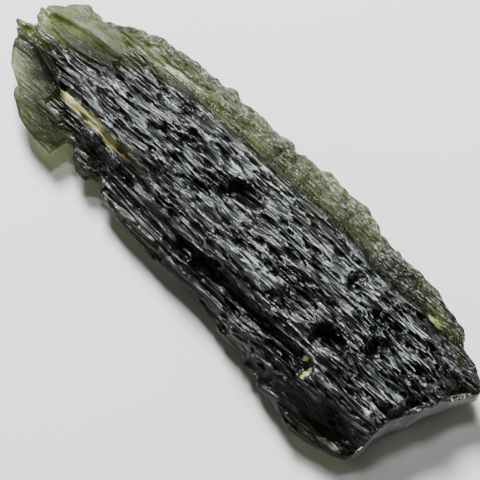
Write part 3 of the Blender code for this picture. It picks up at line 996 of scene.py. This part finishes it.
def readings(bench):
    """Each zone as an attribute, and each shared noise, by name."""
    read = {zone: bench.attribute(zone) for zone in ZONES}
    return SimpleNamespace(
        **read,
        cloud=bench.noise((1.8, 0.6, 0.6)),
        streaks=bench.noise((3.6, 0.17, 0.18), detail=0.5, offset=3.0),
        grain=bench.noise((0.22, 0.15, 0.15), detail=1.0, offset=7.0),
        patches=bench.noise((0.7, 0.25, 0.25), detail=4.0, offset=12.0),
    )


print("zones that the mesh and the finishes share:", ZONES == tuple(stone_zones))

# %% [markdown]
# ## The clear glass
#
# The glass is clear green: it looks black or olive only by how far light travels in it. Painted
# green, it would look the same in thick and thin places. So the surface is plain see-through glass,
# and the colour is an absorption inside, told as what a millimetre takes away. The surface has only
# two tints: yellower in the smooth channels, and dark along winding lines in the frost, a painted
# shade that stands for its shaded crevices.

# %% Tint the glass
TAKEN_PER_MM = (1.38, 1.28, 1.95)  # a millimetre leaves e^-this of red, green and blue
HEADROOM = 1.02  # keeps every part of the volume's colour above 0
GLASS_TINT = (0.96, 0.97, 0.93, 1.0)
# Painted shade: dark winding lines that stand for the frost's shaded crevices.
CREVICE_SHADE_TINT = (0.25, 0.26, 0.20, 1.0)
CHANNEL_TINT = (0.40, 0.46, 0.12, 1.0)
CHANNEL_TINTED = 0.6
CREVICE_SHADE_BORDER = (0.0036, 0.0006)  # squared distance from the noise's middle value
CREVICE_SHADE_IN_POLISH = 0.4


def absorption(bench):
    """A volume whose density is the largest loss; its colour keeps what the others don't lose."""
    most = max(TAKEN_PER_MM) / MM * HEADROOM
    kept = [1 - taken / MM / most for taken in TAKEN_PER_MM]
    return bench.node("ShaderNodeVolumeAbsorption", {}, (*kept, 1.0), most)


def glass_tint(bench, at):
    """Painted crevice shade where a winding noise is near 0.5, and the channel tint in the
    channels.
    """
    winding = bench.noise((1.2, 0.45, 0.45), detail=1.0, offset=50.0) - 0.5
    # Painted shade along the lines where the winding noise is near its middle.
    crevice_shade = (winding * winding).ramp(*CREVICE_SHADE_BORDER)
    crevice_shade = crevice_shade * (at.frost + CREVICE_SHADE_IN_POLISH * at.polish).clamped()
    tint = bench.blend(crevice_shade, GLASS_TINT, CREVICE_SHADE_TINT)
    return bench.blend(CHANNEL_TINTED * at.channel, tint, CHANNEL_TINT)


print("a millimetre of glass keeps", [round(math.exp(-taken), 2) for taken in TAKEN_PER_MM])

# %% [markdown]
# ## The etched surface of the glass
#
# Etching dulls the glass: a little on the core, in faint clouds, most on the frost, and as a bloom
# on the smooth lobes. Marks too small for the mesh are a bump of streaks and grain. One strength
# all over would look like plastic. It is weaker on the lobes and the fresh break, and stronger in
# the channels, where a smooth floor would mirror the lamps as a haze.

# %% Etch the glass
GLASS_IOR = 1.49
LEAST_ROUGH = 0.285
CLOUDS_ROUGH, FROST_ROUGH, BLOOM_ROUGH = 0.06, 0.35, 0.30
CLOUD_RANGE = (0.35, 0.75)
STREAKS_HIGH, GRAIN_HIGH = 0.6, 0.4
BUMP_POLISHED_AWAY, BUMP_BROKEN_AWAY = 0.5, 0.8
CHANNEL_BUMP = 2.5  # how much more of the bump the channels have
BUMP_STRENGTH = 0.8
BUMP_DEPTH = 0.20


def etched_bump(bench, at):
    """Streaks plus grain, times what polish and the break leave, times more in the channels."""
    height = STREAKS_HIGH * at.streaks + GRAIN_HIGH * at.grain
    height = height * (1 - BUMP_POLISHED_AWAY * at.polish) * (1 - BUMP_BROKEN_AWAY * at.broken)
    height = height * (1 + CHANNEL_BUMP * at.channel)
    return bench.node("ShaderNodeBump", {}, BUMP_STRENGTH, BUMP_DEPTH * MM, Height=height)


def clear_glass(bench, at, bump):
    """Roughness: the least, plus a share of the clouds, of the frost and of polish squared."""
    rough = LEAST_ROUGH + CLOUDS_ROUGH * at.cloud.ramp(*CLOUD_RANGE)
    rough = rough + FROST_ROUGH * at.frost + BLOOM_ROUGH * at.polish * at.polish
    return bench.node(
        "ShaderNodeBsdfPrincipled", {}, Base_Color=glass_tint(bench, at),
        Roughness=rough.clamped(), IOR=GLASS_IOR, Transmission_Weight=1.0, Normal=bump,
    )


print(f"the glass is {LEAST_ROUGH:.2f} rough at least, and {LEAST_ROUGH + FROST_ROUGH:.2f} frosted")

# %% [markdown]
# ## Wear and painted sheen on the crests
#
# Crests show as thin broken silver lines along the flow: partly real etched wear, mostly a painted
# sheen that stands for the lamps' glints. The frost has a pale mottle, partly its real whiteness,
# partly painted highlights, and the lobes have a few bright specks, painted glints. White on every
# crest would be too even. The lines are where a long stretched noise crosses its middle value, like
# contour lines on a map, frayed by the grain. They are strongest on crests, come and go with the
# clouds, and stop at the break, an even grey that is a painted reflection.

# %% Draw the wear and the painted sheen
# White for real wear and frost, and for painted highlights of the lamps.
WEAR_AND_SHEEN_WHITE = (0.74, 0.78, 0.77, 1.0)
WEAR_AND_SHEEN_ROUGHNESS = 0.45
LINE_BORDER = (0.0020, 0.0003)  # squared distance from the noise's middle value
LINE_FRAYING = 0.25
LINES_SHOWN = 0.95  # on the crests of the core
HOLLOW_LINES = 0.40  # share of a line that is left in a hollow
LINE_CLOUDS = (0.34, 0.54)
# Pale mottle on the frost: its real whiteness and painted highlights.
FROST_AND_HIGHLIGHT_SHOWN, FROST_EVEN = 0.38, 0.20
MOTTLE_RANGE, SPECK_RANGE = (0.40, 0.62), (0.70, 0.78)
# Bright specks on the lobes are painted glints.
SPECKS_SHOWN = 0.28
# The break's even grey is a painted reflection.
BREAK_LEAST, BREAK_CLOUDED = 0.25, 0.25
BREAK_CLOUDS = (0.35, 0.65)


def flow_lines(bench, grain):
    """1 where a noise stretched along the stone, frayed by the grain, is near its middle."""
    hairs = bench.noise((5.0, 0.21, 0.21), detail=1.0, offset=20.0) - 0.5
    stray = hairs + LINE_FRAYING * (grain - 0.5)
    return (stray * stray).ramp(*LINE_BORDER)


def wear_and_sheen_mix(bench, at, lines):
    """Wear and painted sheen on crests, plus frost mottle, plus painted specks on lobes, plus the
    break.
    """
    mottle = bench.noise((0.30, 0.24, 0.24), detail=1.0, offset=30.0).ramp(*MOTTLE_RANGE)
    specks = bench.noise((0.16, 0.16, 0.16), detail=0.0, offset=40.0).ramp(*SPECK_RANGE)
    crests = lines * (HOLLOW_LINES + (1 - HOLLOW_LINES) * at.crest) * at.cloud.ramp(*LINE_CLOUDS)
    crests = crests * at.worn * (1 - 2 * at.polish).clamped() * (1 - at.broken)
    silver = LINES_SHOWN * crests * (1 - at.frost)
    silver = silver + FROST_AND_HIGHLIGHT_SHOWN * (lines * at.frost + FROST_EVEN * at.frost) * mottle
    silver = silver + SPECKS_SHOWN * at.polish * specks
    silver = silver + at.broken * (BREAK_LEAST + BREAK_CLOUDED * at.cloud.ramp(*BREAK_CLOUDS))
    return silver.clamped()


# The silver lines are wear and painted sheen.
print("silver lines cover", f"{LINES_SHOWN:.0%} of a worn crest where they are strongest")

# %% [markdown]
# ## The clay in the grooves
#
# Clay is opaque and matt, so a tint of the glass won't do. It is a finish of its own, mixed in
# where the clay zone says so. Real clay stays in the grooves and wears off the crests, so its
# border is broken up by streaks and patches, and the silver lines show through. It is cream at the
# thin end and in the spots, and ochre where the long streak runs out.

# %% Lay the clay
CREAM = (0.62, 0.60, 0.29, 1.0)
OCHRE = (0.20, 0.175, 0.070, 1.0)
CLAY_ROUGHNESS = 0.85
OCHRE_STARTS, OCHRE_ENDS = (-17.0, -8.0), (0.0, 10.0)  # places along the stone
OCHRE_LEFT_OUT = 0.8  # beyond its end
CLAY_PATCHES = 0.8
BORDER_STREAKS, BORDER_PATCHES = 0.7, 1.2
CLAY_BORDER = (0.40, 0.90)
SHOWS_THROUGH = 0.7


def clay_colour(bench, patches):
    """Cream, then ochre along the stone, then mostly cream again, with patches of both."""
    along = bench.node("ShaderNodeSeparateXYZ", {}, bench.coordinates(), out="X")
    darker = along.ramp(*OCHRE_STARTS) * (1 - OCHRE_LEFT_OUT * along.ramp(*OCHRE_ENDS))
    darker = darker + CLAY_PATCHES * (patches - 0.5)
    return bench.blend(darker.clamped(), CREAM, OCHRE)


def clay_cover(at, lines):
    """The zone plus streaks plus patches, eased, less the silver lines that show through."""
    cover = at.clay + BORDER_STREAKS * (at.streaks - 0.5) + BORDER_PATCHES * (at.patches - 0.5)
    return cover.ramp(*CLAY_BORDER) * (1 - SHOWS_THROUGH * lines)


print("the clay is", CREAM[:3], "to", OCHRE[:3])

# %% [markdown]
# ## The whole finish
#
# The finishes lie over each other: glass below, a white of wear and painted sheen on it, and clay
# on top, as on the real stone. A material for each would need the mesh cut up along their borders.
# Mixed in one material they can fade, and they share one bump, so none looks glued on.

# %% Put the finish together
def make_glass():
    """Glass, under a share of white for wear and painted sheen, under the clay's share of clay."""
    material, bench = new_bench("moldavite_glass")
    at = readings(bench)
    bump = etched_bump(bench, at)
    lines = flow_lines(bench, at.grain)
    # White for wear and painted sheen, mixed in by its share.
    worn = bench.matt(WEAR_AND_SHEEN_WHITE, WEAR_AND_SHEEN_ROUGHNESS, bump)
    clay = bench.matt(clay_colour(bench, at.patches), CLAY_ROUGHNESS, bump)
    surface = bench.mix(wear_and_sheen_mix(bench, at, lines), clear_glass(bench, at, bump), worn)
    surface = bench.mix(clay_cover(at, lines), surface, clay)
    bench.node("ShaderNodeOutputMaterial", {}, surface, absorption(bench))
    return material


moldavite.data.materials.append(make_glass())
print("the finish has", len(moldavite.data.materials[0].node_tree.nodes), "nodes")

# %% [markdown]
# ## The surface it lies on
#
# A plain pale sheet, a little rough, with no colour of its own. It matters more than it seems: the
# olive of the thin glass is light that went through the stone to the sheet and back. One face, far
# wider than the view, does it, where a curved backdrop would be seen from some sides only.

# %% Lay the floor
FLOOR_HALF = 1500.0
FLOOR_PALE = (0.80, 0.80, 0.80, 1.0)
FLOOR_ROUGHNESS = 0.7
FIBRE = 1.4
FIBRE_STRENGTH = 0.15
FIBRE_DEPTH = 0.05


def make_floor():
    """A matt pale sheet with a faint bump of fibres."""
    material, bench = new_bench("pale_sheet")
    fibre = bench.noise((FIBRE,) * 3, detail=4.0)
    bump = bench.node("ShaderNodeBump", {}, FIBRE_STRENGTH, FIBRE_DEPTH * MM, Height=fibre)
    sheet = bench.matt(FLOOR_PALE, FLOOR_ROUGHNESS, bump)
    bench.node("ShaderNodeOutputMaterial", {}, sheet)
    return material


def add_floor():
    """One square face at height 0."""
    mesh = bpy.data.meshes.new("floor")
    half = FLOOR_HALF * MM
    corners = [(-half, -half, 0), (half, -half, 0), (half, half, 0), (-half, half, 0)]
    mesh.from_pydata(corners, [], [(0, 1, 2, 3)])
    mesh.materials.append(make_floor())
    floor = bpy.data.objects.new("floor", mesh)
    bpy.context.scene.collection.objects.link(floor)
    return floor


floor = add_floor()
print("the floor is", 2 * FLOOR_HALF * MM, "m wide")

# %% [markdown]
# ## Lamps
#
# Black glass shows only what it mirrors, so its look is its lights. Small hard lamps would leave
# pinpricks, and a lamp from the front would flatten the grooves. A wide, cool soft box beyond the
# upper side gives the silver and the shadow on the near side, and a smaller one high up catches the
# flat crests.

# %% Place the lamps
SOFT_BOXES = [
    # name, compass turn, height angle, distance, width, brightness
    ("key", 236.0, 43.0, 500.0, 176.0, 39.0),
    ("top", 214.0, 69.0, 500.0, 80.0, 24.0),
]
LAMP_COLOUR = (0.96, 0.98, 1.0)


def add_soft_box(name, turn, height, distance, width, brightness):
    """A square lamp of a set brightness: watts = pi * area * brightness."""
    data = bpy.data.lights.new(name, "AREA")
    data.size = width * MM
    data.energy = math.pi * data.size**2 * brightness
    data.color = LAMP_COLOUR
    lamp = bpy.data.objects.new(name, data)
    toward = direction(turn, height)
    lamp.location = toward * distance * MM
    lamp.rotation_euler = toward.to_track_quat("Z", "Y").to_euler()
    bpy.context.scene.collection.objects.link(lamp)


for box in SOFT_BOXES:
    add_soft_box(*box)
print(len(SOFT_BOXES), "soft boxes")

# %% [markdown]
# ## Sky
#
# A picture of a room would put its own windows into the glass, so the room is a plain gradient: dim
# overhead, where the hollows would mirror it, and pale and a little warm at the horizon, where it
# fills the shadow and comes through the thin glass. A view with more contrast than usual suits
# black glass on a pale sheet.

# %% Add the sky
SKY_OVERHEAD = (0.03, 0.03, 0.035, 1.0)
SKY_HORIZON = (0.52, 0.50, 0.45, 1.0)
SKY_FADE = (0.15, 0.75)  # how far up the horizon's colour begins to fade, and is gone


def add_sky():
    """A background that fades with height."""
    world = bpy.data.worlds.new("sky")
    world.use_nodes = True
    bench = Bench(world.node_tree)
    way = bench.node("ShaderNodeTexCoord", {}, out="Generated")
    up = bench.node("ShaderNodeSeparateXYZ", {}, way, out="Z")
    colour = bench.blend(up.ramp(*SKY_FADE), SKY_HORIZON, SKY_OVERHEAD)
    glow = bench.node("ShaderNodeBackground", {}, colour, 1.0)
    bench.node("ShaderNodeOutputWorld", {}, glow)
    bpy.context.scene.world = world


add_sky()
bpy.context.scene.view_settings.look = "AgX - High Contrast"
print("the sky is", bpy.context.scene.world.name)

# %% [markdown]
# ## Sizes
#
# The finished stone has to fill the box of the plain solid that it stands for, and its points
# were stretched to that box.

# %% Finish
print("the scene is set")
